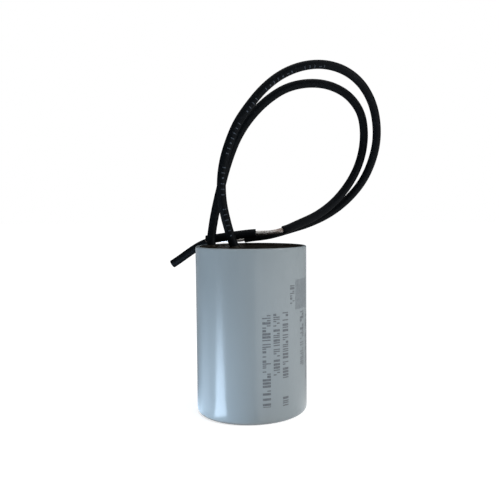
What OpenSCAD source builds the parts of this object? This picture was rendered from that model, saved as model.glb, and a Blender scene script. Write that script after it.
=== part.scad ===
// Motor run capacitor: a resin-filled round case with two flying leads out of its open end.
// Millimetres. The origin is the centre of the case's underside, and +Z runs up the case.

/* [Case] */
// Outside diameter of the moulded case
case_d = 40; // [36:0.5:50]
// Height of the case from its underside to its rim
case_h = 60; // [58:1:80]
// Thickness of the side wall
case_wall = 1.3; // [1:0.1:2]
// Thickness of the case's floor
case_floor = 1.5; // [1:0.1:3]
// Radius of the outside bottom edge
foot_r = 1.6; // [0.5:0.1:3]
// Radius of the inside bottom edge
inside_r = 0.8; // [0.3:0.1:1.5]
// Radius on both edges of the rim
rim_r = 0.4; // [0.1:0.05:0.45]
// Diameter of the shallow recess round the moulding gate, under the floor
gate_d = 6; // [3:0.5:12]
// Depth of the gate recess
gate_depth = 0.4; // [0.2:0.1:0.7]

/* [Potting] */
// How far the resin's level lies below the rim
potting_drop = 0.7; // [0.5:0.1:2]
// Radius of the resin's curved edge, where it climbs the wall
meniscus_r = 1.2; // [0.4:0.1:1.4]
// Resin between the case's floor and the lower metal end
bottom_cover = 3.5; // [3:0.1:5]
// Resin between the winding and the side wall
side_cover = 1.4; // [1:0.1:3]

/* [Winding] */
// Width of the wound film
film_w = 41.5; // [35:0.5:43]
// Thickness of the sprayed metal on each end of the winding
spray_t = 0.5; // [0.3:0.1:1]
// Outside diameter of the hollow core that the film is wound on
core_d = 8; // [7.5:0.5:12]
// Wall of the hollow core
core_wall = 1.5; // [0.8:0.1:1.7]
// How far the core stands out of each metal end
core_proud = 0.5; // [0.2:0.1:1]

/* [Solder] */
// Diameter of the solder on the upper metal end
top_solder_d = 6; // [4:0.5:8]
// Height of the solder on the upper metal end
top_solder_h = 2.2; // [1.5:0.1:2.5]
// Diameter of the solder on the lower metal end
bottom_solder_d = 7; // [5.5:0.5:8]
// Height of the solder on the lower metal end
bottom_solder_h = 2.8; // [2.7:0.1:2.9]
// Distance from the winding's edge to the middle of the lower solder
bottom_solder_in = 6.5; // [5:0.5:8]

/* [Leads] */
// Diameter over the jacket of each lead, and of the sleeve on its end
lead_d = 3.2; // [2.5:0.1:3.6]
// Diameter of the twisted strands inside the jacket
strand_d = 1.8; // [1.2:0.1:2]
// Gap between the lower strands and the core's end that they bend round
tail_gap = 0.3; // [0.2:0.1:0.4]

/* [Hidden] */
$fn = 96;
lead_sides = 8;
arc_steps = 8;
overcut = 1;

case_r = case_d / 2;
cavity_r = case_r - case_wall;
resin_z = case_h - potting_drop;
core_r = core_d / 2;
core_bore_r = core_r - core_wall;
winding_r = cavity_r - side_cover;
bottom_solder_x = winding_r - bottom_solder_in;
spray_bottom_z = case_floor + bottom_cover;
film_z = spray_bottom_z + spray_t;
spray_top_z = film_z + film_w;
winding_top = spray_top_z + spray_t;
core_z = spray_bottom_z - core_proud;
core_top = winding_top + core_proud;
tail_z = core_z - tail_gap - strand_d / 2;

// A point in the resin cover: x, y and the share of the way from the upper metal end to the rim.
function in_cover(p) = [p.x, p.y, winding_top + p.z * (case_h - winding_top)];
// A point outside: x, y and the height above the rim.
function over_rim(p) = [p.x, p.y, case_h + p.z];

// Lead 1 rises from the upper metal end, and is the inner loop.
solder_1 = [-12, 4];
inner_1 = [
    [-12, 4, 0.08], [-12.5, 4, 0.3], [-14, 4, 0.65], [-15, 4, 1]
];
outer_1 = [
    [-14.4, 5, 7.5], [-13, 5, 14.5], [-11, 5, 22.5], [-8.5, 5, 31], [-5, 5, 39.5], [0, 5, 47],
    [6, 5.5, 53], [13, 6.5, 57.5], [21, 8.5, 59.6], [29.5, 12, 59.3], [36.9, 15.5, 55.9], [41.6, 18.5, 50],
    [43.1, 21, 43.5], [42.8, 22.5, 36.5], [40.5, 22.5, 28.8], [36.4, 21.5, 21.7], [30.7, 19.5, 15.3],
    [24.5, 16.5, 10.8], [17.5, 13, 7.6], [11.3, 10.5, 5.1], [6, 9.5, 4.4], [1.2, 9, 4.2],
    [-17.5, 8, 1.8]
];
route_1 = concat([for (p = inner_1) in_cover(p)], [for (p = outer_1) over_rim(p)]);
jacket_1_from = 1;
jacket_1_to = len(route_1) - 4;
sleeve_1_from = len(route_1) - 2;

// Lead 2 rises from the lower metal end through the hollow core, and is the outer loop.
tail_2 = [
    [bottom_solder_x + strand_d, 0, tail_z], [core_bore_r - tail_gap, 0, tail_z],
    [tail_gap, 0, tail_z + strand_d / 2], [0, 0, tail_z + 2 * strand_d], [0, 0, spray_top_z]
];
inner_2 = [
    [-0.5, -0.5, 0.2], [-2.5, -3, 0.5], [-4.5, -4.5, 0.78]
];
outer_2 = [
    [-6, -5, 1], [-8, -6, 8], [-9.5, -6.5, 15.5], [-9.8, -6.5, 22.5], [-9, -6, 29.5],
    [-7, -5.5, 36.5], [-4, -5, 43.5], [0, -4, 49.5], [5, -3, 55.5], [11, -2, 60.4], [18.5, -0.5, 63.8],
    [26.5, 2, 65], [34, 5, 63.6], [40.6, 9, 59.6], [45.3, 13, 53], [47.4, 16.5, 46], [47.7, 19, 39],
    [46.3, 21.5, 31.9], [42.9, 23.5, 24.2], [37.2, 24.5, 17.2], [30.2, 24, 11.7], [22, 22.5, 7.7],
    [14, 21, 5.2], [5.5, 19.5, 2.9], [-4, 19, 1.65], [-6.5, 19.2, 1], [-12.5, 19.5, 1.3],
    [-17, 20, 0.7], [-33, 22, -8.5]
];
route_2 = concat(tail_2, [for (p = inner_2) in_cover(p)], [for (p = outer_2) over_rim(p)]);
jacket_2_from = 3;
jacket_2_to = len(route_2) - 5;
sleeve_2_from = len(route_2) - 2;

// Points on a circular arc, for a profile.
function arc(centre, r, from, to) =
    [for (i = [0:arc_steps]) let (a = from + (to - from) * i / arc_steps) centre + r * [cos(a), sin(a)]];

// Direction of a route at its point i.
function unit(v) = v / norm(v);
function heading(route, i) = unit(route[min(i + 1, len(route) - 1)] - route[max(i - 1, 0)]);

// One ring of points square to the route at its point i.
function ring(route, i, d) =
    let (t = heading(route, i), side = unit(cross(t, [0, 1, 0])), up = cross(side, t))
    [for (k = [0:lead_sides - 1]) let (a = 360 * (k + 0.5) / lead_sides)
        route[i] + d / 2 * (cos(a) * side + sin(a) * up)];

// A round bar swept along a route, from its point a to its point b.
module swept(route, a, b, d) {
    n = b - a;
    points = [for (i = [a:b]) each ring(route, i, d)];
    walls = [for (i = [0:n - 1], k = [0:lead_sides - 1])
        let (near = i * lead_sides, far = near + lead_sides, next = (k + 1) % lead_sides)
        each [[near + k, far + next, far + k], [near + k, near + next, far + next]]];
    first = [for (k = [lead_sides - 1:-1:0]) k];
    last = [for (k = [0:lead_sides - 1]) n * lead_sides + k];
    polyhedron(points, concat([first], walls, [last]));
}

module tube(r, bore_r, z, h) {
    translate([0, 0, z]) difference() {
        cylinder(r = r, h = h);
        translate([0, 0, -overcut]) cylinder(r = bore_r, h = h + 2 * overcut);
    }
}

// Half of the inside of the case, up to a given profile along its top.
module cavity(top) {
    rotate_extrude() polygon(concat(
        [[0, case_floor]],
        arc([cavity_r - inside_r, case_floor + inside_r], inside_r, -90, 0),
        top
    ));
}

module case() {
    color([0.62, 0.66, 0.70]) difference() {
        rotate_extrude() polygon(concat(
            [[0, 0]],
            arc([case_r - foot_r, foot_r], foot_r, -90, 0),
            arc([case_r - rim_r, case_h - rim_r], rim_r, 0, 90),
            arc([cavity_r + rim_r, case_h - rim_r], rim_r, 90, 180),
            [[cavity_r, case_floor + inside_r]],
            arc([cavity_r - inside_r, case_floor + inside_r], inside_r, 0, -90),
            [[0, case_floor]]
        ));
        translate([0, 0, -overcut]) cylinder(d = gate_d, h = gate_depth + overcut);
    }
}

module potting() {
    meniscus_to = -30;
    centre = [cavity_r - meniscus_r * cos(meniscus_to), resin_z + meniscus_r];
    color([0.13, 0.10, 0.07]) difference() {
        cavity(concat(arc(centre, meniscus_r, meniscus_to, -90), [[0, resin_z]]));
        winding_outline();
        solder_dome(top_solder_d, top_solder_h, [solder_1.x, solder_1.y, winding_top], 1);
        solder_dome(bottom_solder_d, bottom_solder_h, [bottom_solder_x, 0, spray_bottom_z], -1);
        lead_in_resin(route_1, jacket_1_from, len(inner_1));
        lead_in_resin(route_2, jacket_2_from, len(tail_2) + len(inner_2));
    }
}

// What the winding, its core and its metal ends take out of the resin.
module winding_outline() {
    tube(winding_r, core_bore_r, spray_bottom_z, winding_top - spray_bottom_z);
    tube(core_r, core_bore_r, core_z, core_top - core_z);
}

// The buried length of a lead: bare strands up to the jacket, then the jacket.
module lead_in_resin(route, jacket_from, to) {
    swept(route, 0, jacket_from, strand_d);
    swept(route, jacket_from, to, lead_d);
}

module winding() {
    color([0.80, 0.80, 0.82]) tube(winding_r, core_r, film_z, film_w);
}

module winding_core() {
    color([0.90, 0.88, 0.80]) tube(core_r, core_bore_r, core_z, core_top - core_z);
}

module end_spray(z) {
    color([0.66, 0.67, 0.68]) tube(winding_r, core_r, z, spray_t);
}

module end_spray_top() end_spray(spray_top_z);

module end_spray_bottom() end_spray(spray_bottom_z);

// A cap of solder d wide and h high at a place, domed up (1) or down (-1).
module solder_dome(d, h, place, way) {
    dome_r = (d * d / 4 + h * h) / (2 * h);
    translate(place) mirror([0, 0, way < 0 ? 1 : 0]) intersection() {
        translate([0, 0, h - dome_r]) sphere(r = dome_r);
        cylinder(r = dome_r + overcut, h = h + overcut);
    }
}

module solder_top() {
    color([0.72, 0.73, 0.75]) difference() {
        solder_dome(top_solder_d, top_solder_h, [solder_1.x, solder_1.y, winding_top], 1);
        swept(route_1, 0, jacket_1_from, strand_d);
    }
}

module solder_bottom() {
    color([0.72, 0.73, 0.75]) difference() {
        solder_dome(bottom_solder_d, bottom_solder_h, [bottom_solder_x, 0, spray_bottom_z], -1);
        swept(route_2, 0, jacket_2_from, strand_d);
    }
}

module jacket(route, from, to) {
    color([0.06, 0.06, 0.07]) swept(route, from, to, lead_d);
}

// The strands show where no jacket covers them: at the joint inside, and in the cut near the tip.
module strands(route, jacket_from, jacket_to, sleeve_from) {
    color([0.66, 0.62, 0.58]) {
        swept(route, 0, jacket_from, strand_d);
        swept(route, jacket_to, sleeve_from, strand_d);
    }
}

module end_sleeve(route, from) {
    color([0.06, 0.06, 0.07]) swept(route, from, len(route) - 1, lead_d);
}

module lead_1_jacket() jacket(route_1, jacket_1_from, jacket_1_to);

module lead_1_strands() strands(route_1, jacket_1_from, jacket_1_to, sleeve_1_from);

module lead_1_end_sleeve() end_sleeve(route_1, sleeve_1_from);

module lead_2_jacket() jacket(route_2, jacket_2_from, jacket_2_to);

module lead_2_strands() strands(route_2, jacket_2_from, jacket_2_to, sleeve_2_from);

module lead_2_end_sleeve() end_sleeve(route_2, sleeve_2_from);

case();
potting();
winding();
winding_core();
end_spray_top();
end_spray_bottom();
solder_top();
solder_bottom();
lead_1_jacket();
lead_1_strands();
lead_1_end_sleeve();
lead_2_jacket();
lead_2_strands();
lead_2_end_sleeve();
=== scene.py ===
"""The looks of a motor run capacitor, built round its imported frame.

A glossy moulded case, dark resin that has wetted its way up to the rim, and two black leads that
loop round and come down behind the case. Lengths are metres, in the frame's own axes.
"""

import math
import random

import bpy
import numpy as np
from mathutils import Matrix, Vector


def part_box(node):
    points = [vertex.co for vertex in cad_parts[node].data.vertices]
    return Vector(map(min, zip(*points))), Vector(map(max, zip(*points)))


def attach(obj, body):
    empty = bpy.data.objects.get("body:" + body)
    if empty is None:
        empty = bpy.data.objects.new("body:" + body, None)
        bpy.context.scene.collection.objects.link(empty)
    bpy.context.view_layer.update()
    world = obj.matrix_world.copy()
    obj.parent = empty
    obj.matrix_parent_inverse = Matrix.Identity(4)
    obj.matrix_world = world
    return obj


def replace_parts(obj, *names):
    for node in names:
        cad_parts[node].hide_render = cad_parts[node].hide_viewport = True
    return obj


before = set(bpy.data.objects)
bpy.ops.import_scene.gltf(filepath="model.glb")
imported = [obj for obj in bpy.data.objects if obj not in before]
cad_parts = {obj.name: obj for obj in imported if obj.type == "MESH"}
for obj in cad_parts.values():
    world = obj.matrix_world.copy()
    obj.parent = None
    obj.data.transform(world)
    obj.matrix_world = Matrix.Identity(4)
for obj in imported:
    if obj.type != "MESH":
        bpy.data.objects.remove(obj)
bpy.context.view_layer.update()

bl_info = {
    "name": "Motor Run Capacitor",
    "version": (1, 0, 0),
    "blender": (4, 5, 0),
    "location": "View3D > Sidebar > Capacitor",
    "description": "Dresses the frame of a motor run capacitor with two flying leads",
    "category": "Add Mesh",
}

MM = 0.001
ROOT = "root"

# Heights and radii that the frame gives.
RIM_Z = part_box("case")[1].z
CASE_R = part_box("case")[1].x
CAVITY_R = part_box("potting")[1].x
METAL_TOP_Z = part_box("end_spray_top")[1].z
CORE_FOOT_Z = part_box("winding_core")[0].z
SOLDER_TIP_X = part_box("lead_2_strands")[1].x
# The radius of the core's bore, which no box of the frame gives.
CORE_BORE_R = 2.5 * MM
# Faces that meet at more than this angle keep a crisp edge.
SHARP_ANGLE = math.radians(40)


# ---------------------------------------------------------------- settings


# What every colour among the settings has in common.
COLOUR = dict(subtype="COLOR", size=3, min=0, max=1)


class CaseSettings(bpy.types.PropertyGroup):
    """What a user would change on the case and its print."""

    plastic: bpy.props.FloatVectorProperty(
        name="Plastic", description="Colour of the moulded case",
        default=(0.288, 0.330, 0.350), **COLOUR)
    ink: bpy.props.FloatVectorProperty(
        name="Ink", description="Colour of the print on the case",
        default=(0.125, 0.140, 0.155), **COLOUR)
    ink_lift: bpy.props.FloatProperty(
        name="Ink thickness", description="How far the print stands off the case",
        unit="LENGTH", min=0.005 * MM, max=0.2 * MM, default=0.02 * MM)


class ResinSettings(bpy.types.PropertyGroup):
    """What a user would change on the resin's surface."""

    colour: bpy.props.FloatVectorProperty(
        name="Resin", description="Colour of the cured resin",
        default=(0.011, 0.0085, 0.0055), **COLOUR)
    level: bpy.props.FloatProperty(
        name="Level", description="How far the resin's level lies below the rim",
        unit="LENGTH", min=0.5 * MM, max=2 * MM, default=0.7 * MM)
    collar: bpy.props.FloatProperty(
        name="Collar", description="How far the resin climbs round each lead",
        unit="LENGTH", min=0, max=2 * MM, default=0.9 * MM)
    ripple: bpy.props.FloatProperty(
        name="Ripple", description="Height of the waves left in the cured surface",
        unit="LENGTH", min=0, max=0.3 * MM, default=0.05 * MM)


class LeadSettings(bpy.types.PropertyGroup):
    """What a user would change on the leads."""

    diameter: bpy.props.FloatProperty(
        name="Jacket diameter", description="Diameter over the jacket",
        unit="LENGTH", min=2.5 * MM, max=3.6 * MM, default=3.2 * MM)
    bundle: bpy.props.FloatProperty(
        name="Strand bundle", description="Diameter over the twisted strands",
        unit="LENGTH", min=1.2 * MM, max=2 * MM, default=1.8 * MM)
    lay: bpy.props.FloatProperty(
        name="Lay", description="Length in which a strand goes once round the bundle",
        unit="LENGTH", min=10 * MM, max=60 * MM, default=24 * MM)
    jacket: bpy.props.FloatVectorProperty(
        name="Jacket", description="Colour of the jackets",
        default=(0.0034, 0.0044, 0.0058), **COLOUR)
    mark: bpy.props.FloatVectorProperty(
        name="Marks", description="Colour of the pale marks along one jacket",
        default=(0.055, 0.072, 0.095), **COLOUR)
    tin: bpy.props.FloatVectorProperty(
        name="Tinned strands", description="Colour of the strands where their tin is whole",
        default=(0.80, 0.785, 0.765), **COLOUR)
    copper: bpy.props.FloatVectorProperty(
        name="Copper", description="Colour of the strands where copper shows through",
        default=(0.50, 0.41, 0.37), **COLOUR)


class StudioSettings(bpy.types.PropertyGroup):
    """What a user would change on the camera and the light."""

    distance: bpy.props.FloatProperty(
        name="Distance", description="From the camera to the case's axis, along the floor",
        unit="LENGTH", min=0.1, max=2, default=0.2267)
    height: bpy.props.FloatProperty(
        name="Height", description="Height of the camera above the floor",
        unit="LENGTH", min=0.01, max=1, default=0.0731)
    aside: bpy.props.FloatProperty(
        name="Aside", description="How far the camera stands to the right of the case's axis",
        unit="LENGTH", min=-0.2, max=0.2, default=0.0159)
    pitch: bpy.props.FloatProperty(
        name="Pitch", description="How far the camera looks down",
        unit="ROTATION", min=0, max=1.5, default=0.0643)
    roll: bpy.props.FloatProperty(
        name="Roll", description="How far the camera leans to its right",
        unit="ROTATION", min=-0.2, max=0.2, default=0.0044)
    lens: bpy.props.FloatProperty(
        name="Focal length", description="Focal length of the lens in millimetres",
        min=20, max=200, default=45.14)
    shift: bpy.props.FloatProperty(
        name="Shift", description="Sideways shift of the lens, as a share of the picture",
        min=-0.2, max=0.2, default=-0.0912)
    ambient: bpy.props.FloatProperty(
        name="Ambient", description="Strength of the light from all round",
        min=0, max=2, default=0.52)
    right: bpy.props.FloatProperty(
        name="Right light", description="Radiance of the softbox on the right",
        min=0, max=10, default=3.8)
    overhead: bpy.props.FloatProperty(
        name="Overhead light", description="Radiance of the small softbox overhead",
        min=0, max=20, default=0.5)
    card: bpy.props.FloatProperty(
        name="Light card", description="Radiance of the bright card that lies beside the case",
        min=0, max=40, default=11.0)
    patch: bpy.props.FloatProperty(
        name="Light patch", description="Radiance of the broad patch of light on the floor",
        min=0, max=10, default=2.0)


SETTINGS = {
    "capacitor_case": CaseSettings,
    "capacitor_resin": ResinSettings,
    "capacitor_leads": LeadSettings,
    "capacitor_studio": StudioSettings,
}


# ---------------------------------------------------------------- the leads' routes

# Points in the resin cover: x and y in millimetres, and the share of the way from the upper
# metal end to the rim. Points outside: x, y and the height above the rim, in millimetres.
LEAD_1_IN_COVER = [(-12, 4, 0.08), (-12.5, 4, 0.3), (-14, 4, 0.65), (-15, 4, 1)]
LEAD_1_OUTSIDE = [
    (-14.4, 5, 7.5), (-13, 5, 14.5), (-11, 5, 22.5), (-8.5, 5, 31), (-5, 5, 39.5), (0, 5, 47),
    (6, 5.5, 53), (13, 6.5, 57.5), (21, 8.5, 59.6), (29.5, 12, 59.3), (36.9, 15.5, 55.9),
    (41.6, 18.5, 50), (43.1, 21, 43.5), (42.8, 22.5, 36.5), (40.5, 22.5, 28.8), (36.4, 21.5, 21.7),
    (30.7, 19.5, 15.3), (24.5, 16.5, 10.8), (17.5, 13, 7.6), (11.3, 10.5, 5.1), (6, 9.5, 4.4),
    (1.2, 9, 4.2), (-17.5, 8, 1.8),
]
LEAD_2_IN_COVER = [(-0.5, -0.5, 0.2), (-2.5, -3, 0.5), (-4.5, -4.5, 0.78)]
LEAD_2_OUTSIDE = [
    (-6, -5, 1), (-8, -6, 8), (-9.5, -6.5, 15.5), (-9.8, -6.5, 22.5), (-9, -6, 29.5),
    (-7, -5.5, 36.5), (-4, -5, 43.5), (0, -4, 49.5), (5, -3, 55.5), (11, -2, 60.4),
    (18.5, -0.5, 63.8), (26.5, 2, 65), (34, 5, 63.6), (40.6, 9, 59.6), (45.3, 13, 53),
    (47.4, 16.5, 46), (47.7, 19, 39), (46.3, 21.5, 31.9), (42.9, 23.5, 24.2), (37.2, 24.5, 17.2),
    (30.2, 24, 11.7), (22, 22.5, 7.7), (14, 21, 5.2), (5.5, 19.5, 2.9), (-4, 19, 1.65),
    (-6.5, 19.2, 1), (-12.5, 19.5, 1.3), (-17, 20, 0.7), (-33, 22, -8.5),
]
# The points of a lead's line at which its jacket begins, comes free of the core and ends, and at
# which the sleeve on its tip begins. The last two are counted from the tip.
LEAD_1_KNOTS = (1, 1, -4, -2)
LEAD_2_KNOTS = (3, 4, -5, -2)
# Lead 2's tail under the winding: its clearance from the core, and how far below the top of the
# upper metal end its straight run through the core stops.
TAIL_GAP = 0.3 * MM
TAIL_STOP = 0.5 * MM


def in_cover(points):
    """Points of the resin cover, in metres."""
    return [(x * MM, y * MM, METAL_TOP_Z + share * (RIM_Z - METAL_TOP_Z)) for x, y, share in points]


def over_rim(points):
    """Points above the rim, in metres."""
    return [(x * MM, y * MM, RIM_Z + z * MM) for x, y, z in points]


def smooth_line(points, step=0.5 * MM):
    """Points about a step apart, on a smooth curve through the given ones."""
    knots = np.array(points, float)
    gaps = np.linalg.norm(np.diff(knots, axis=0), axis=1)[:, None]
    slopes = np.diff(knots, axis=0) / gaps
    inner = (slopes[:-1] * gaps[1:] + slopes[1:] * gaps[:-1]) / (gaps[:-1] + gaps[1:])
    tangents = np.vstack([slopes[:1], inner, slopes[-1:]])
    line = []
    for a, b, u, v, gap in zip(knots, knots[1:], tangents, tangents[1:], gaps[:, 0]):
        t = np.linspace(0, 1, max(2, round(gap / step)), endpoint=False)[:, None]
        line.append(
            (2 * t**3 - 3 * t**2 + 1) * a + (t**3 - 2 * t**2 + t) * gap * u
            + (3 * t**2 - 2 * t**3) * b + (t**3 - t**2) * gap * v)
    return np.vstack(line + [knots[-1:]])


def relaxed(line, rounds=20):
    """The same line with its small kinks eased out, and its two ends held."""
    line = line.copy()
    for _ in range(rounds):
        line[1:-1] += ((line[:-2] + line[2:]) / 2 - line[1:-1]) / 2
    return line


class Line:
    """A line in space with a frame that never twists, measured by the length along it."""

    def __init__(self, points):
        self.points = np.array(points, float)
        steps = np.linalg.norm(np.diff(self.points, axis=0), axis=1)
        self.at = np.concatenate([[0], np.cumsum(steps)])
        self.length = float(self.at[-1])
        self.ahead = np.gradient(self.points, self.at, axis=0)
        self.ahead /= np.linalg.norm(self.ahead, axis=1)[:, None]
        side = np.cross(self.ahead[0], (0.0, 1.0, 0.0))
        sides = []
        for ahead in self.ahead:
            side = side - ahead * side.dot(ahead)
            side /= np.linalg.norm(side)
            sides.append(side)
        self.side = np.array(sides)
        self.up = np.cross(self.side, self.ahead)

    def along(self, values, s):
        """Rows of values, one for each point of the line, read off at lengths s."""
        return np.stack([np.interp(s, self.at, values[:, i]) for i in range(3)], axis=-1)

    def place(self, s, radius, angle):
        """Points at lengths s along the line, at a radius and an angle round it."""
        s, radius, angle = np.broadcast_arrays(s, radius, angle)
        past = np.where(s < 0, s, np.where(s > self.length, s - self.length, 0))[..., None]
        side, up = self.along(self.side, s), self.along(self.up, s)
        out = np.cos(angle)[..., None] * side + np.sin(angle)[..., None] * up
        return (self.along(self.points, s) + past * self.along(self.ahead, s)
                + radius[..., None] * out)

    def nearest(self, point):
        """The length along the line at which it comes nearest to a point."""
        return float(self.at[np.argmin(np.linalg.norm(self.points - np.array(point), axis=1))])

    def part(self, start, end):
        """The stretch between two lengths, as a line of its own."""
        inside = (self.at > start) & (self.at < end)
        s = np.concatenate([[start], self.at[inside], [end]])
        return Line(self.along(self.points, s))


def lead_line(tail, cover, outside, held):
    """A lead's whole line, from its soldered end to its tip. The first held points aren't eased."""
    knots = [*tail, *in_cover(cover), *over_rim(outside)]
    stiff = smooth_line(knots[: held + 1])
    loose = relaxed(smooth_line(knots[held:]))
    return knots, Line(np.vstack([stiff[:-1], loose]))


def lead_1():
    """Lead 1, which starts on the upper metal end."""
    return lead_line([], LEAD_1_IN_COVER, LEAD_1_OUTSIDE, held=1)


def lead_2():
    """Lead 2, which starts under the winding and comes up through its core."""
    bundle = bpy.context.scene.capacitor_leads.bundle
    z = CORE_FOOT_Z - TAIL_GAP - bundle / 2
    tail = [
        (SOLDER_TIP_X, 0, z), (CORE_BORE_R - TAIL_GAP, 0, z), (TAIL_GAP, 0, z + bundle / 2),
        (0, 0, z + 2 * bundle), (0, 0, METAL_TOP_Z - TAIL_STOP),
    ]
    return lead_line(tail, LEAD_2_IN_COVER, LEAD_2_OUTSIDE, held=4)


# ---------------------------------------------------------------- meshes


def new_item(name, points, faces, material):
    """A mesh object in the scene."""
    mesh = bpy.data.meshes.new(name)
    mesh.from_pydata([tuple(map(float, p)) for p in points], [], faces)
    mesh.validate()
    mesh.materials.append(material)
    item = bpy.data.objects.new(name, mesh)
    bpy.context.scene.collection.objects.link(item)
    return item


def new_piece(name, points, faces, material):
    """A piece of the object, smooth-shaded, which rides on the body."""
    piece = new_item(name, points, faces, material)
    piece.data.shade_smooth()
    piece.data.set_sharp_from_angle(angle=SHARP_ANGLE)
    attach(piece, ROOT)
    return piece


def sheet_faces(rows, columns, start=0):
    """Quads between rows of points, on an open sheet."""
    return [
        (a, a + columns, a + columns + 1, a + 1)
        for i in range(rows - 1) for a in range(start + i * columns, start + (i + 1) * columns - 1)]


def ring_faces(rows, columns, closed_rows=False, start=0):
    """Quads between closed rings of points, from the last ring back to the first if asked."""
    faces = []
    for i in range(rows if closed_rows else rows - 1):
        near, far = start + i * columns, start + (i + 1) % rows * columns
        for k in range(columns):
            n = (k + 1) % columns
            faces.append((near + k, near + n, far + n, far + k))
    return faces


# The lengths of the two slow waves that make a swept surface uneven.
UNEVEN_WAVES = (3.1 * MM, 7.3 * MM)


def swept(line, profile, sides, start=0, uneven=0.0):
    """Points and faces of a profile of (length, radius) pairs turned round a line.

    A profile that comes back to its first pair is left as a ring, and any other is capped.
    """
    hollow = profile[0] == profile[-1]
    pairs = np.array(profile[:-1] if hollow else profile)
    angle = np.linspace(0, 2 * np.pi, sides, endpoint=False)
    s, radius = pairs[:, :1], pairs[:, 1:]
    if uneven:
        short, long = UNEVEN_WAVES
        wave = np.sin(s / short + 2 * angle) + np.sin(s / long - 3 * angle + 1)
        radius = radius * (1 + uneven * wave)
    points = line.place(s, radius, angle).reshape(-1, 3)
    faces = ring_faces(len(pairs), sides, hollow, start)
    if not hollow:
        faces.append(tuple(start + k for k in reversed(range(sides))))
        last = start + (len(pairs) - 1) * sides
        faces.append(tuple(last + k for k in range(sides)))
    return list(points), faces


def stations(start, end, step):
    """Lengths from start to end, about a step apart."""
    return [float(s) for s in np.linspace(start, end, max(2, round((end - start) / step) + 1))]


def raised_patch(surface, u_range, v_range, cells, lift, start=0):
    """Points and faces of a thin closed pad on a surface(u, v, height), with cells (nu, nv)."""
    nu, nv = cells
    u, v = np.linspace(*u_range, nu + 1), np.linspace(*v_range, nv + 1)
    points = [surface(a, b, height) for height in (lift, -lift) for a in u for b in v]
    row, level = nv + 1, (nu + 1) * (nv + 1)
    faces = sheet_faces(nu + 1, row, start)
    faces += [(a, d, c, b) for a, b, c, d in sheet_faces(nu + 1, row, start + level)]
    edge = [i * row for i in range(nu)] + [nu * row + k for k in range(nv)]
    edge += [i * row + nv for i in range(nu, 0, -1)] + list(range(nv, 0, -1))
    for a, b in zip(edge, edge[1:] + edge[:1]):
        faces.append((start + a, start + a + level, start + b + level, start + b))
    return points, faces


# ---------------------------------------------------------------- finishes


# The values between which most of a noise lies.
NOISE_LOW, NOISE_HIGH = 0.3, 0.7


class Finish:
    """A node material: constants on its shader, and short calls for the nodes that feed it."""

    def __init__(self, name, **constants):
        self.material = bpy.data.materials.new(name)
        self.material.use_nodes = True
        self.tree = self.material.node_tree
        self.shader = self.tree.nodes["Principled BSDF"]
        self.place = self.add("ShaderNodeTexCoord").outputs["Object"]
        for socket, value in constants.items():
            self.shader.inputs[socket.replace("_", " ")].default_value = value

    def add(self, kind, inputs=None, **settings):
        """A new node, with its inputs fed and its settings made."""
        node = self.tree.nodes.new(kind)
        for name, value in settings.items():
            setattr(node, name, value)
        for socket, value in (inputs or {}).items():
            self.feed(node.inputs[socket], value)
        return node

    def feed(self, socket, value):
        """Links a socket to another node's output, or sets it to a constant."""
        if isinstance(value, bpy.types.NodeSocket):
            self.tree.links.new(value, socket)
        else:
            socket.default_value = value

    def calc(self, operation, first, second=0.0, **settings):
        """The result of a sum on one value or two."""
        node = self.add("ShaderNodeMath", {0: first, 1: second}, operation=operation, **settings)
        return node.outputs[0]

    def upright(self, scale):
        """Places whose height is scaled, so that a noise is drawn out along the height."""
        node = self.add("ShaderNodeMapping", {"Vector": self.place, "Scale": (1.0, 1.0, scale)})
        return node.outputs["Vector"]

    def split(self, axis):
        """One of the three coordinates of the place."""
        return self.add("ShaderNodeSeparateXYZ", {"Vector": self.place}).outputs[axis]

    def noise(self, scale, detail=2.0, place=None):
        """Cloudy noise, mostly from NOISE_LOW to NOISE_HIGH. A larger scale makes it finer."""
        inputs = {"Vector": place or self.place, "Scale": scale, "Detail": detail}
        return self.add("ShaderNodeTexNoise", inputs).outputs["Fac"]

    def ranged(self, value, low, high, to_low=0.0, to_high=1.0):
        """A value that goes from to_low to to_high as its input goes from low to high."""
        inputs = {
            "Value": value, "From Min": low, "From Max": high, "To Min": to_low, "To Max": to_high}
        return self.add("ShaderNodeMapRange", inputs).outputs["Result"]

    def spread(self, noise, to_low=0.0, to_high=1.0):
        """A noise that is spread out to go from to_low to to_high."""
        return self.ranged(noise, NOISE_LOW, NOISE_HIGH, to_low, to_high)

    def mixed(self, share, first, second):
        """The first colour where share is 0 and the second where it is 1."""
        node = self.add("ShaderNodeMix", data_type="RGBA")
        sockets = [s for s in node.inputs if s.enabled]
        for socket, value in zip(sockets, (share, first, second)):
            self.feed(socket, value)
        return next(s for s in node.outputs if s.enabled)

    def bump(self, height, distance, under=None):
        """The normal of a surface that a height raises, on top of another bump if there is one."""
        inputs = {"Height": height, "Distance": distance}
        if under is not None:
            inputs["Normal"] = under
        return self.add("ShaderNodeBump", inputs).outputs["Normal"]

    def set(self, **sockets):
        """Feeds the shader's sockets, and gives back the material."""
        for name, value in sockets.items():
            self.feed(self.shader.inputs[name.replace("_", " ")], value)
        return self.material


def rgba(colour, factor=1.0):
    """A colour made lighter or darker by a factor, with full cover."""
    return (*(min(1.0, c * factor) for c in colour), 1.0)


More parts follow.
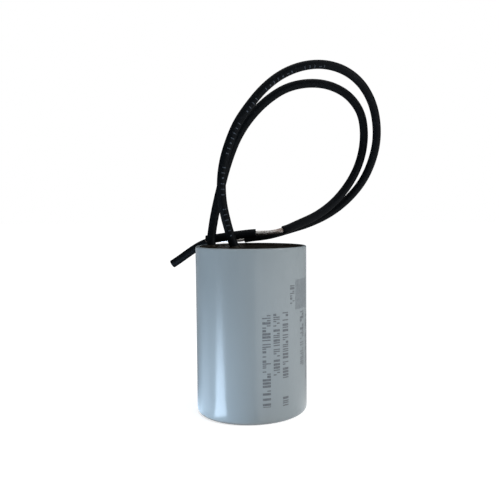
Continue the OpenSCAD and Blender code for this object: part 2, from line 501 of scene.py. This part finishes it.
def moulded_plastic():
    """Glossy moulded case: faint clouds in its colour, a fine skin, and a few rubbed patches."""
    colour = bpy.context.scene.capacitor_case.plastic
    f = Finish("moulded_plastic", Specular_IOR_Level=0.45, IOR=1.5)
    clouds = f.noise(60.0, 3.0, f.upright(0.5))
    shade = f.mixed(f.spread(clouds), rgba(colour, 0.965), rgba(colour, 1.035))
    rubbed = f.noise(130.0, 4.0, f.upright(0.35))
    skin = f.noise(2500.0, 2.0)
    waves = f.noise(90.0, 1.0, f.upright(0.3))
    normal = f.bump(skin, 0.004 * MM, under=f.bump(waves, 0.06 * MM))
    return f.set(
        Base_Color=shade,
        Roughness=f.ranged(rubbed, 0.35, 0.75, 0.17, 0.24),
        Normal=normal)


def ink(name, share):
    """Matt ink, a little thin in places. The plastic shows through a share of it."""
    case = bpy.context.scene.capacitor_case
    colour = [i + (p - i) * share for i, p in zip(case.ink, case.plastic)]
    f = Finish(name, Specular_IOR_Level=0.35)
    thin = f.noise(1400.0, 3.0)
    shade = f.mixed(f.ranged(thin, 0.35, 0.7), rgba(colour), rgba(colour, 1.35 - 0.25 * share))
    return f.set(Base_Color=shade, Roughness=f.spread(thin, 0.35, 0.5),
                 Normal=f.bump(thin, 0.01 * MM))


def printed_ink():
    """The full ink of the rows of print."""
    return ink("printed_ink", 0.0)


def thin_ink():
    """The paler ink of the printed field."""
    return ink("thin_ink", 0.45)


def cast_resin():
    """Dark glossy cast resin, with fine specks and a slightly dulled skin."""
    colour = bpy.context.scene.capacitor_resin.colour
    f = Finish("cast_resin", Specular_IOR_Level=0.15, IOR=1.5)
    clouds = f.noise(220.0, 4.0)
    specks = f.ranged(f.noise(2600.0, 2.0), 0.66, 0.74)
    body = f.mixed(f.spread(clouds), rgba(colour, 0.7), rgba(colour, 1.5))
    return f.set(
        Base_Color=f.mixed(specks, body, rgba(colour, 3.5)),
        Roughness=f.spread(clouds, 0.26, 0.42),
        Normal=f.bump(f.noise(500.0, 3.0), 0.03 * MM))


def black_jacket():
    """Black extruded jacket: fine draw lines, a soft uneven sheen and pale dust."""
    colour = bpy.context.scene.capacitor_leads.jacket
    f = Finish("black_jacket", Specular_IOR_Level=0.06, IOR=1.5)
    dust = f.ranged(f.noise(900.0, 5.0), 0.58, 0.8)
    uneven = f.noise(260.0, 3.0)
    skin = f.noise(3200.0, 2.0)
    normal = f.bump(skin, 0.01 * MM, under=f.bump(uneven, 0.05 * MM))
    return f.set(
        Base_Color=f.mixed(dust, rgba(colour), rgba((0.011, 0.0135, 0.017))),
        Roughness=f.spread(uneven, 0.42, 0.55),
        Normal=normal)


def pale_marks():
    """Pale ink on a jacket, worn through here and there."""
    leads = bpy.context.scene.capacitor_leads
    f = Finish("pale_marks", Specular_IOR_Level=0.3, Roughness=0.55)
    worn = f.ranged(f.noise(2400.0, 4.0), 0.42, 0.62)
    return f.set(Base_Color=f.mixed(worn, rgba(leads.mark), rgba(leads.jacket, 6)),
                 Normal=f.bump(f.noise(3000.0), 0.01 * MM))


def strand_metal():
    """Tinned copper strands, with copper showing where the tin is thin."""
    leads = bpy.context.scene.capacitor_leads
    f = Finish("strand_metal", Metallic=1.0)
    thin = f.ranged(f.noise(190.0, 4.0), 0.48, 0.64)
    shade = f.mixed(thin, rgba(leads.tin), rgba(leads.copper))
    grime = f.ranged(f.noise(1500.0, 3.0), 0.5, 0.7)
    return f.set(
        Base_Color=f.mixed(grime, shade, rgba(leads.copper, 0.5)),
        Roughness=f.ranged(thin, 0.0, 1.0, 0.28, 0.42),
        Normal=f.bump(f.noise(4000.0), 0.006 * MM))


def solder_metal():
    """Solder, bright where it froze smooth and dull elsewhere."""
    f = Finish("solder_metal", Metallic=1.0)
    dull = f.noise(900.0, 4.0)
    shade = f.mixed(dull, (0.50, 0.51, 0.53, 1), (0.72, 0.73, 0.75, 1))
    return f.set(Base_Color=shade, Roughness=f.spread(dull, 0.2, 0.45),
                 Normal=f.bump(dull, 0.04 * MM))


def zinc_spray():
    """Coarse grey zinc, sprayed on in droplets."""
    f = Finish("zinc_spray", Metallic=0.9)
    droplets = f.noise(2600.0, 5.0)
    shade = f.mixed(droplets, (0.30, 0.31, 0.32, 1), (0.52, 0.53, 0.54, 1))
    return f.set(Base_Color=shade, Roughness=f.spread(droplets, 0.5, 0.75),
                 Normal=f.bump(droplets, 0.1 * MM))


def wound_film():
    """Metallised film wound in turns, whose edges show as fine rings on the ends."""
    f = Finish("wound_film", Metallic=0.7)
    rings = f.add("ShaderNodeTexWave", {
        "Vector": f.place, "Scale": 700.0, "Distortion": 0.4, "Detail": 2.0},
        wave_type="RINGS", rings_direction="Z").outputs["Fac"]
    shade = f.mixed(rings, (0.55, 0.56, 0.58, 1), (0.78, 0.79, 0.81, 1))
    return f.set(Base_Color=shade, Roughness=f.spread(f.noise(300.0), 0.22, 0.36),
                 Normal=f.bump(rings, 0.02 * MM))


def core_tube():
    """The natural polypropylene of the core."""
    f = Finish("core_tube", Roughness=0.4, Subsurface_Weight=0.15, Subsurface_Scale=0.002)
    milky = f.noise(240.0, 3.0)
    return f.set(Base_Color=f.mixed(milky, (0.66, 0.64, 0.56, 1), (0.74, 0.72, 0.65, 1)),
                 Normal=f.bump(f.noise(1600.0), 0.01 * MM))


def finish(make):
    """The material that a function makes, made once."""
    return bpy.data.materials.get(make.__name__) or make()


def dress(node, make):
    """Gives a node of the frame its finish."""
    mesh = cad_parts[node].data
    mesh.materials.clear()
    mesh.materials.append(finish(make))


# ---------------------------------------------------------------- camera, leads and strands


class CAPACITOR_OT_camera(bpy.types.Operator):
    """Sets up the camera, a little above the rim and close to the case"""

    bl_idname = "capacitor.camera"
    bl_label = "Camera"

    def execute(self, context):
        studio = context.scene.capacitor_studio
        data = bpy.data.cameras.new("camera")
        data.lens = studio.lens
        data.shift_x = studio.shift
        camera = bpy.data.objects.new("camera", data)
        context.scene.collection.objects.link(camera)
        tilt = Matrix.Rotation(math.pi / 2 - studio.pitch, 4, "X")
        lean = Matrix.Rotation(-studio.roll, 4, "Z")
        place = Matrix.Translation((studio.aside, -studio.distance, studio.height))
        camera.matrix_world = place @ tilt @ lean
        context.scene.camera = camera
        return {"FINISHED"}


# The jackets' meshes: their sides, the step along them outside, in a bore and in the core, and how
# uneven their surface is.
JACKET_SIDES = 28
JACKET_STEP = 0.8 * MM
BORE_STEP = 2 * MM
CORE_STEP = 4 * MM
JACKET_UNEVEN = 0.004
# A jacket's cut end: the width of its rounded edge, how far the middle of that round lies back from
# the cut and in from the side, how deep the bore goes, and its room beside the strands.
CUT_EDGE = 0.12 * MM
CUT_BACK = 0.03 * MM
CUT_IN = 0.04 * MM
CUT_DEPTH = 3 * MM
BORE_ROOM = 0.05 * MM


def jacket_profile(start, end, radius, bore):
    """A jacket's outline from its buried start to the cut where the bare strands come out."""
    inner, rim = bore - CUT_EDGE / 2, radius - CUT_EDGE
    profile = [(start, bore), (start, rim), (start + CUT_EDGE, radius)]
    profile += [(s, radius) for s in stations(start + MM, end - MM, JACKET_STEP)]
    profile += [(end - CUT_EDGE, radius), (end - CUT_BACK, radius - CUT_IN), (end, rim)]
    return profile + [(end, bore), (end - CUT_EDGE, inner), (end - CUT_DEPTH, inner)]


def sleeve_profile(start, end, radius, bore):
    """The closed outline of the slug of jacket that is left on a lead's tip."""
    rim, first, last = radius - CUT_EDGE, start + CUT_EDGE, end - CUT_EDGE
    profile = [(start, bore), (start, rim), (start + CUT_BACK, radius - CUT_IN)]
    profile += [(s, radius) for s in stations(first, last, JACKET_STEP)]
    profile += [(end - CUT_BACK, radius - CUT_IN), (end, rim), (end, bore)]
    profile += [(s, bore) for s in stations(first, last, BORE_STEP)[::-1]]
    return profile + profile[:1]


# The strands: how many lie in each layer, their sides and step, how loosely they lie, as a share
# of a layer's radius, and over what length that comes and goes.
STRAND_LAYERS = (1, 6, 12)
STRAND_SIDES = 7
STRAND_STEP = 0.45 * MM
STRAND_LOOSE = 0.05
STRAND_LOOSE_LENGTH = 2.3 * MM
# How far the strands go into the jacket at the joint and at the cut, and stand out of the tip.
STRANDS_INTO_JOINT = MM
STRANDS_INTO_CUT = 2.5 * MM
STRANDS_PAST_TIP = 0.15 * MM


class CAPACITOR_OT_leads(bpy.types.Operator):
    bl_idname = "capacitor.leads"
    bl_label = "Leads"

    def execute(self, context):
        leads = context.scene.capacitor_leads
        radius, bore = leads.diameter / 2, leads.bundle / 2 + BORE_ROOM
        for name, (knots, line), chosen in (
                ("lead_1", lead_1(), LEAD_1_KNOTS), ("lead_2", lead_2(), LEAD_2_KNOTS)):
            jacket_from, free_from, jacket_to, sleeve_from = (
                line.nearest(knots[k]) for k in chosen)
            if free_from > jacket_from:
                in_core = [(s, radius) for s in stations(jacket_from, free_from, CORE_STEP)]
                self.tube(f"{name}_jacket_in_core", line, in_core, uneven=0.0)
            profile = jacket_profile(free_from, jacket_to, radius, bore)
            jacket = self.tube(f"{name}_jacket_free", line, profile)
            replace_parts(jacket, f"{name}_jacket")
            profile = sleeve_profile(sleeve_from, line.length, radius, bore)
            sleeve = self.tube(f"{name}_sleeve", line, profile)
            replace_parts(sleeve, f"{name}_end_sleeve")
            strands = self.strands(name, line, jacket_from, jacket_to, leads)
            self.declare(jacket, line.part(free_from, jacket_to), leads, [sleeve, strands])
        return {"FINISHED"}

    def tube(self, name, line, profile, uneven=JACKET_UNEVEN):
        """One piece of black jacket, turned round a lead's line."""
        points, faces = swept(line, profile, JACKET_SIDES, uneven=uneven)
        return new_piece(name, points, faces, finish(black_jacket))

    def strands(self, name, line, jacket_from, jacket_to, leads):
        """The twisted strands: at the soldered joint, and from the jacket's cut to the tip."""
        strand_r = leads.bundle / 2 / (2 * len(STRAND_LAYERS) - 1)
        bare = (
            (0, jacket_from + STRANDS_INTO_JOINT),
            (jacket_to - STRANDS_INTO_CUT, line.length + STRANDS_PAST_TIP))
        points, faces = [], []
        for start, end in bare:
            s = np.array(stations(start, end, STRAND_STEP))
            for layer, count in enumerate(STRAND_LAYERS):
                for i in range(count):
                    turn = 2 * np.pi * (s / leads.lay + i / count) + layer
                    loose = 1 + STRAND_LOOSE * np.sin(s / STRAND_LOOSE_LENGTH + 2.4 * i)
                    path = Line(line.place(s, 2 * layer * strand_r * loose, turn))
                    profile = [(v, strand_r) for v in path.at]
                    more, walls = swept(path, profile, STRAND_SIDES, len(points))
                    points += more
                    faces += walls
        strands = new_piece(f"{name}_strand_bundle", points, faces, finish(strand_metal))
        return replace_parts(strands, f"{name}_strands")

    def declare(self, jacket, line, leads, others):
        """Does nothing with the lead's pieces and line that it is given."""


# The marks on lead 2: how far above the resin they begin, how far they run, which way round the
# jacket they face and how much that turns in a metre, and how far apart they and their groups are.
MARKS_FROM = 7 * MM
MARKS_RUN = 80 * MM
MARKS_FACING = math.radians(-108)
MARKS_TURN = math.radians(-38) / (70 * MM)
MARK_PITCH = 1.9 * MM
MARK_GAP = 3.2 * MM
# The fewest and the most marks in a group.
MARKS_IN_GROUP = (4, 7)
# What a mark measures across the jacket and along it, in millimetres.
MARK_SHAPES = [(1.3, 0.28), (0.65, 0.5), (0.35, 1.0), (1.0, 0.36), (1.3, 0.28)]
# A mark's own radius beside the jacket's, to clear its unevenness, half a mark's thickness, and
# its cells along the jacket and across it.
MARK_HEIGHT = 1.006
MARK_LIFT = 0.02 * MM
MARK_CELLS = (2, 5)
MARKS_SEED = 7


class CAPACITOR_OT_marks(bpy.types.Operator):
    """Prints groups of small pale dashes along lead 2"""

    bl_idname = "capacitor.marks"
    bl_label = "Marks on lead 2"

    def execute(self, context):
        leads = context.scene.capacitor_leads
        _, line = lead_2()
        radius = leads.diameter / 2
        rng = random.Random(MARKS_SEED)
        points, faces = [], []
        start = line.nearest(in_cover(LEAD_2_IN_COVER)[-1]) + MARKS_FROM
        s = start
        while s < start + MARKS_RUN:
            for _ in range(rng.randint(*MARKS_IN_GROUP)):
                facing = MARKS_FACING + (s - start) * MARKS_TURN
                tall, wide = rng.choice(MARK_SHAPES)
                tall *= MM / radius
                more, walls = raised_patch(
                    lambda u, v, h: line.place(u, radius * MARK_HEIGHT + h, v),
                    (s, s + wide * MM), (facing - tall / 2, facing + tall / 2), MARK_CELLS,
                    MARK_LIFT, len(points))
                points += more
                faces += walls
                s += MARK_PITCH
            s += MARK_GAP
        new_piece("lead_2_marks", points, faces, finish(pale_marks))
        return {"FINISHED"}


# ---------------------------------------------------------------- case, print, resin and inside


class CAPACITOR_OT_case(bpy.types.Operator):
    """Gives the case its plastic"""

    bl_idname = "capacitor.case"
    bl_label = "Case"

    def execute(self, context):
        dress("case", moulded_plastic)
        return {"FINISHED"}


# Rows of print that run down the case: the angle round from the front and the height at which a
# row starts, its width as an angle, and its length. Degrees and millimetres.
PRINT_ROWS = [
    (14.0, 37.7, 8.2, 31.5), (25.2, 38.0, 6.8, 21.5), (35.4, 38.2, 6.8, 23.0),
    (35.4, 9.0, 6.8, 3.4), (45.2, 47.1, 6.2, 6.6), (61.5, 37.4, 8.0, 19.5),
    (75.5, 35.5, 5.0, 23.0),
]
# A row's blocks: their lengths and the gaps between them, in millimetres, and the share of the
# row's width that they span. What stands here more often is drawn more often.
BLOCK_LENGTHS = (0.4, 0.4, 0.8)
BLOCK_GAPS = (0.25, 0.25, 0.3, 0.3, 0.45, 1.0)
BLOCK_SPANS = ((0, 1), (0, 1), (0, 1), (0, 0.45), (0.55, 1))
# The printed field: its two edges, in degrees, and its foot and top, in millimetres.
PRINT_FIELD = (53.0, 78.5, 38.5, 48.8)
# The cells round the case and up it, which keep the ink close to the round wall.
BLOCK_CELLS = (4, 1)
FIELD_CELLS = (14, 2)
PRINT_SEED = 3


def on_case(angle, z, height):
    """A point on the case, by its angle round from the front in degrees."""
    a, r = math.radians(angle), CASE_R + height
    return (r * math.sin(a), -r * math.cos(a), z)


class CAPACITOR_OT_print(bpy.types.Operator):
    """Prints rows of plain blocks and one plain field on the case"""

    bl_idname = "capacitor.print"
    bl_label = "Print on the case"

    def execute(self, context):
        case = context.scene.capacitor_case
        rng = random.Random(PRINT_SEED)
        points, faces = [], []
        for angle, top, width, length in PRINT_ROWS:
            z, end = top, top - length
            while z > end:
                long = min(rng.choice(BLOCK_LENGTHS), z - end)
                low, high = rng.choice(BLOCK_SPANS)
                more, walls = raised_patch(
                    on_case, (angle + width * low, angle + width * high),
                    ((z - long) * MM, z * MM), BLOCK_CELLS, case.ink_lift, len(points))
                points += more
                faces += walls
                z -= long + rng.choice(BLOCK_GAPS)
        new_piece("case_print", points, faces, finish(printed_ink))
        first, last, low, high = PRINT_FIELD
        points, faces = raised_patch(
            on_case, (first, last), (low * MM, high * MM), FIELD_CELLS, case.ink_lift)
        new_piece("case_print_field", points, faces, finish(thin_ink))
        return {"FINISHED"}


# The resin's surface: its rings, how much closer together they lie near the wall, its spokes, how
# clear of the wall it ends, and how far its hidden skirt goes down.
RESIN_RINGS = 110
RESIN_CROWDING = 1.6
RESIN_SPOKES = 180
RESIN_CLEAR = 0.01 * MM
RESIN_SKIRT = 0.4 * MM
# How far below the rim the resin's climb up the wall ends, over what lengths that climb and a
# lead's collar die away, and the lengths of the ripple's two waves.
CLIMB_BELOW_RIM = 0.12 * MM
CLIMB_FADE = 0.55 * MM
COLLAR_FADE = 0.6 * MM
RIPPLE_WAVES = (3.1 * MM, 2.7 * MM)


class CAPACITOR_OT_resin(bpy.types.Operator):
    """Makes the resin's free surface: wetted up to the rim and in a collar round each lead"""

    bl_idname = "capacitor.resin"
    bl_label = "Resin"

    def execute(self, context):
        resin = context.scene.capacitor_resin
        dress("potting", cast_resin)
        level = RIM_Z - resin.level
        leads = [self.crossing(lead_1(), level), self.crossing(lead_2(), level)]
        rings, spokes = RESIN_RINGS, RESIN_SPOKES
        outer = CAVITY_R - RESIN_CLEAR
        r = outer * (1 - (1 - np.linspace(0, 1, rings + 1)[1:]) ** RESIN_CROWDING)[:, None]
        a = np.linspace(0, 2 * np.pi, spokes, endpoint=False)
        x, y = r * np.cos(a), r * np.sin(a)
        z = self.height(x, y, resin, leads, level)
        points = [(0, 0, float(self.height(np.zeros(1), np.zeros(1), resin, leads, level)[0]))]
        points += list(np.stack([x, y, z], -1).reshape(-1, 3))
        points += [(outer * math.cos(t), outer * math.sin(t), level - RESIN_SKIRT) for t in a]
        faces = [(0, 1 + k, 1 + (k + 1) % spokes) for k in range(spokes)]
        faces += [tuple(reversed(q)) for q in ring_faces(rings + 1, spokes, start=1)]
        faces.append(tuple(1 + rings * spokes + k for k in reversed(range(spokes))))
        new_piece("resin_surface", points, faces, finish(cast_resin))
        return {"FINISHED"}

    def crossing(self, lead, level):
        """Where a lead comes up through the resin's level."""
        _, line = lead
        return line.points[np.argmax(line.points[:, 2] > level)][:2]

    def height(self, x, y, resin, leads, level):
        """The height of the surface, with its climb up the wall, its collars and its ripple."""
        radius = bpy.context.scene.capacitor_leads.diameter / 2
        from_wall = CAVITY_R - np.hypot(x, y)
        z = level + (resin.level - CLIMB_BELOW_RIM) * np.exp(-from_wall / CLIMB_FADE)
        for cx, cy in leads:
            from_lead = np.maximum(np.hypot(x - cx, y - cy) - radius, 0)
            z = z + resin.collar * np.exp(-from_lead / COLLAR_FADE)
        wave_x, wave_y = RIPPLE_WAVES
        z = z + resin.ripple * (np.sin(x / wave_x + 1) * np.sin(y / wave_y) + 0.4)
        return np.minimum(z, RIM_Z + resin.collar)


class CAPACITOR_OT_inside(bpy.types.Operator):
    """Gives the winding, its core, its metal ends and the solder their finishes"""

    bl_idname = "capacitor.inside"
    bl_label = "Inside"

    def execute(self, context):
        dress("winding", wound_film)
        dress("winding_core", core_tube)
        for node in ("end_spray_top", "end_spray_bottom"):
            dress(node, zinc_spray)
        for node in ("solder_top", "solder_bottom"):
            dress(node, solder_metal)
        return {"FINISHED"}


# ---------------------------------------------------------------- stage


def seen(tree):
    """1 for camera, glossy and transmission rays, and 0 for the rest."""
    path = tree.nodes.new("ShaderNodeLightPath")
    share = path.outputs["Is Camera Ray"]
    for ray in ("Is Glossy Ray", "Is Transmission Ray"):
        either = tree.nodes.new("ShaderNodeMath")
        either.operation = "MAXIMUM"
        tree.links.new(share, either.inputs[0])
        tree.links.new(path.outputs[ray], either.inputs[1])
        share = either.outputs[0]
    return share


def along(f):
    """The length along an object's own X."""
    return f.split("X")


def away(f):
    """The distance from an object's origin."""
    return f.add("ShaderNodeVectorMath", {0: f.place}, operation="LENGTH").outputs["Value"]


def azimuth_in(f):
    """The azimuth to the right of the front, in radians."""
    return f.calc("ARCTAN2", f.split("X"), f.calc("MULTIPLY", f.split("Y"), -1.0))


def turn(f, middle):
    """How far the azimuth is from a middle one, either way."""
    return f.calc("ABSOLUTE", f.calc("SUBTRACT", azimuth_in(f), middle))


def turned(profile, azimuths, start=0):
    """Points and faces of (radius, height) pairs turned round the case, from the front."""
    points = [(r * math.sin(a), -r * math.cos(a), z) for r, z in profile for a in azimuths]
    return points, sheet_faces(len(profile), len(azimuths), start)


def stage_item(name, points, faces, material):
    """A mesh of the stage, which isn't part of the object."""
    piece = new_item(name, points, faces, material)
    return piece


# Half the floor's width, and the strength of the glow with which it shows.
FLOOR_HALF = 3.0
FLOOR_GLOW = 0.65
# The cloth round the stage: how far off it stands, the angles from which and to which it rises,
# and its rows up and its steps round.
FLAGS_REACH = 0.9
FLAGS_FOOT = 0.002
FLAGS_RISE = math.radians(52)
FLAGS_ROWS = 8
FLAGS_STEPS = 48
# The radii of the cloth on the floor, its height, and the heights between which cloth comes to
# count as standing.
CLOTH_RADII = (CASE_R + MM, 60 * MM, 0.2, FLAGS_REACH)
CLOTH_Z = 0.3 * MM
CLOTH_STANDS = (CLOTH_Z + 0.2 * MM, CLOTH_Z + 0.7 * MM)
# Where the cloth on the floor ends right of the front, and where it comes back, in degrees.
CLOTH_EDGES = ((10, 13), (90, 150))
# The azimuths, either way from the front, between which the low cloth thins, its cover behind, and
# the heights between which it is whole again.
THIN_BEHIND = (110, 165)
THIN_COVER = 0.62
THIN_UP_TO = (20 * MM, 50 * MM)
# The light cards: the azimuth on the case where the image runs up and the azimuth from there
# to the card, in degrees, then how wide and how bright the card is beside the first.
LIGHT_CARDS = [
    ("light_card", -28.4, -64.8, 1.0, 1.0), ("light_card_beyond", -51, -110, 1.2, 0.075)]
# A card's outline, as the way from the case and half the card's width there, in millimetres, its
# height over the floor, its colour, and where its fading begins and ends, with the fade's power.
CARD_OUTLINE = [(6, 3.8), (14, 5.3), (28, 7.2), (60, 13), (115, 18), (200, 26), (400, 40)]
CARD_Z = 0.6 * MM
CARD_COLOUR = (0.64, 0.80, 1.0)
CARD_FADE = (60 * MM, 400 * MM, 2.2)
# The patch of light: its radii, its height over the floor, its colour, where it fades outwards,
# its middle azimuth, with how far from that it is full and where it ends, in degrees, and its
# steps round.
PATCH_RADII = (CASE_R + 0.5 * MM, 30 * MM, 50 * MM, 90 * MM, 0.17, 0.45)
PATCH_Z = 0.45 * MM
PATCH_COLOUR = (0.62, 0.80, 1.0)
PATCH_FADE = (0.03, 0.45, 1.0)
PATCH_SECTOR = (-58, 24, 72)
PATCH_STEPS = 24
# The softboxes: where each stands, and its size.
RIGHT_BOX = ((0.50, -0.16, 0.30), (0.34, 0.38))
OVERHEAD_BOX = ((0.03, -0.06, 0.60), (0.26, 0.20))


class CAPACITOR_OT_stage(bpy.types.Operator):
    """Lays the pale floor, and sets up the light, the dark cloth, the light cards and a patch"""

    bl_idname = "capacitor.stage"
    bl_label = "Stage"

    def execute(self, context):
        studio = context.scene.capacitor_studio
        context.scene.view_settings.view_transform = "Standard"
        self.world(context, studio.ambient)
        self.floor()
        self.flags()
        self.cards(studio.card)
        self.patch(studio.patch)
        self.softbox("right", *RIGHT_BOX, studio.right)
        self.softbox("overhead", *OVERHEAD_BOX, studio.overhead)
        return {"FINISHED"}

    def world(self, context, strength):
        """A plain light from all round, which shows as white, directly and in gloss."""
        world = bpy.data.worlds.new("studio")
        context.scene.world = world
        world.use_nodes = True
        tree = world.node_tree
        ambient = tree.nodes["Background"]
        ambient.inputs["Color"].default_value = (0.97, 0.985, 1.0, 1)
        ambient.inputs["Strength"].default_value = strength
        white = tree.nodes.new("ShaderNodeBackground")
        white.inputs["Color"].default_value = (1, 1, 1, 1)
        mix = tree.nodes.new("ShaderNodeMixShader")
        tree.links.new(seen(tree), mix.inputs["Fac"])
        tree.links.new(ambient.outputs[0], mix.inputs[1])
        tree.links.new(white.outputs[0], mix.inputs[2])
        tree.links.new(mix.outputs[0], tree.nodes["World Output"].inputs["Surface"])

    def floor(self):
        """A pale matt floor, whose glow is only seen, and lights nothing."""
        f = Finish("pale_floor", Roughness=0.9, Specular_IOR_Level=0.0)
        f.set(Base_Color=f.mixed(f.noise(40.0, 3.0), (0.80, 0.80, 0.80, 1), (0.82, 0.82, 0.82, 1)))
        tree = f.tree
        glow = f.add("ShaderNodeEmission", {"Strength": FLOOR_GLOW})
        both = f.add("ShaderNodeAddShader")
        tree.links.new(f.shader.outputs[0], both.inputs[0])
        tree.links.new(glow.outputs[0], both.inputs[1])
        mix = f.add("ShaderNodeMixShader")
        tree.links.new(seen(tree), mix.inputs["Fac"])
        tree.links.new(f.shader.outputs[0], mix.inputs[1])
        tree.links.new(both.outputs[0], mix.inputs[2])
        tree.links.new(mix.outputs[0], tree.nodes["Material Output"].inputs["Surface"])
        ends = (-FLOOR_HALF, FLOOR_HALF)
        points = [(x, y, 0) for x in ends for y in ends]
        stage_item("floor", points, sheet_faces(2, 2), f.material)

    def flags(self):
        """Dark cloth all round, open overhead, and on most of the floor. Gloss alone shows it."""
        walls = [
            (FLAGS_REACH * math.cos(h), FLAGS_REACH * math.sin(h))
            for h in np.linspace(FLAGS_FOOT, FLAGS_RISE, FLAGS_ROWS)]
        azimuths = np.linspace(0, 2 * np.pi, FLAGS_STEPS + 1)
        points, faces = turned(walls, azimuths)
        more, under = turned([(r, CLOTH_Z) for r in CLOTH_RADII], azimuths, len(points))
        f = Finish("dark_cloth", Roughness=0.9, Specular_IOR_Level=0.0)
        f.set(Base_Color=f.mixed(f.noise(30.0), (0.014, 0.015, 0.017, 1), (0.020, 0.021, 0.024, 1)))
        azimuth, height = azimuth_in(f), f.split("Z")
        left, right = np.radians(CLOTH_EDGES)
        on_floor = f.calc("ADD", f.ranged(azimuth, *left, 1.0, 0.0), f.ranged(azimuth, *right))
        standing = f.ranged(height, *CLOTH_STANDS)
        cover = f.calc("ADD", on_floor, standing, use_clamp=True)
        behind = f.ranged(turn(f, 0.0), *np.radians(THIN_BEHIND), 1.0, THIN_COVER)
        whole = f.calc("MAXIMUM", behind, f.ranged(height, *THIN_UP_TO))
        f.feed(f.shader.inputs["Alpha"], f.calc("MULTIPLY", cover, whole))
        cloth = stage_item("dark_flags", points + more, faces + under, f.material)
        cloth.visible_camera = cloth.visible_diffuse = cloth.visible_shadow = False

    def glowing(self, name, points, faces, colour, strength, fades):
        """A light that lies on the floor and shines upwards alone.

        Each fade is a measure, where the light is full and where it is gone, and a power.
        """
        f = Finish(name)
        underside = f.add("ShaderNodeNewGeometry").outputs["Backfacing"]
        level = f.ranged(underside, 0.0, 1.0, strength, 0.0)
        for measure, full, none, power in fades:
            fade = f.calc("POWER", f.ranged(measure(f), full, none, 1.0, 0.0), power)
            level = f.calc("MULTIPLY", level, fade)
        glow = f.add("ShaderNodeEmission", {"Color": (*colour, 1), "Strength": level})
        clear = f.add("ShaderNodeBsdfTransparent")
        both = f.add("ShaderNodeAddShader", {0: glow.outputs[0], 1: clear.outputs[0]})
        f.feed(f.tree.nodes["Material Output"].inputs["Surface"], both.outputs[0])
        f.tree.nodes.remove(f.shader)
        light = stage_item(name, points, faces, f.material)
        light.visible_camera = light.visible_shadow = False
        return light

    def cards(self, strength):
        """Two cool strips on the floor, one bright: their images run up the case and fade."""
        for name, image, ahead, width, share in LIGHT_CARDS:
            points = [
                (way * MM, side * half * width * MM, 0)
                for way, half in CARD_OUTLINE for side in (-1, 1)]
            card = self.glowing(
                name, points, sheet_faces(len(CARD_OUTLINE), 2), CARD_COLOUR, share * strength,
                [(along, *CARD_FADE)])
            image, ahead = np.radians((image, ahead))
            card.location = (CASE_R * math.sin(image), -CASE_R * math.cos(image), CARD_Z)
            card.rotation_euler = (0, 0, ahead - math.pi / 2)
            card.visible_diffuse = False

    def patch(self, strength):
        """A broad patch of light on the floor to the left of the case."""
        middle, full, none = np.radians(PATCH_SECTOR)
        azimuths = np.linspace(middle - none, middle + none, PATCH_STEPS + 1)
        points, faces = turned([(r, PATCH_Z) for r in PATCH_RADII], azimuths)
        self.glowing(
            "light_patch", points, faces, PATCH_COLOUR, strength,
            [(away, *PATCH_FADE), (lambda f: turn(f, middle), full, none, 1.0)])

    def softbox(self, name, place, size, radiance):
        """A soft rectangular lamp that looks at the middle of the rim."""
        data = bpy.data.lights.new(name, "AREA")
        data.shape = "RECTANGLE"
        data.size, data.size_y = size
        data.energy = radiance * math.pi * size[0] * size[1]
        lamp = bpy.data.objects.new(name, data)
        lamp.location = place
        ahead = Vector((0, 0, RIM_Z)) - Vector(place)
        lamp.rotation_euler = ahead.to_track_quat("-Z", "Y").to_euler()
        bpy.context.scene.collection.objects.link(lamp)


# ---------------------------------------------------------------- panel and registration


OPERATORS = (
    CAPACITOR_OT_camera, CAPACITOR_OT_leads, CAPACITOR_OT_marks, CAPACITOR_OT_case,
    CAPACITOR_OT_print, CAPACITOR_OT_resin, CAPACITOR_OT_inside, CAPACITOR_OT_stage,
)


class CAPACITOR_PT_panel(bpy.types.Panel):
    """Lists the settings and the operators in the order in which they run"""

    bl_idname = "CAPACITOR_PT_panel"
    bl_label = "Motor Run Capacitor"
    bl_space_type = "VIEW_3D"
    bl_region_type = "UI"
    bl_category = "Capacitor"

    def draw(self, context):
        for group in SETTINGS:
            box = self.layout.box()
            settings = getattr(context.scene, group)
            for name in settings.__annotations__:
                box.prop(settings, name)
        for operator in OPERATORS:
            self.layout.operator(operator.bl_idname)


CLASSES = (*SETTINGS.values(), *OPERATORS, CAPACITOR_PT_panel)


def register():
    for cls in CLASSES:
        bpy.utils.register_class(cls)
    for name, group in SETTINGS.items():
        setattr(bpy.types.Scene, name, bpy.props.PointerProperty(type=group))


def unregister():
    for name in SETTINGS:
        delattr(bpy.types.Scene, name)
    for cls in reversed(CLASSES):
        bpy.utils.unregister_class(cls)


def main():
    """Makes everything in order."""
    register()
    bpy.ops.capacitor.camera()
    bpy.ops.capacitor.leads()
    bpy.ops.capacitor.marks()
    bpy.ops.capacitor.case()
    bpy.ops.capacitor.print()
    bpy.ops.capacitor.resin()
    bpy.ops.capacitor.inside()
    bpy.ops.capacitor.stage()


if __name__ == "__main__":
    main()
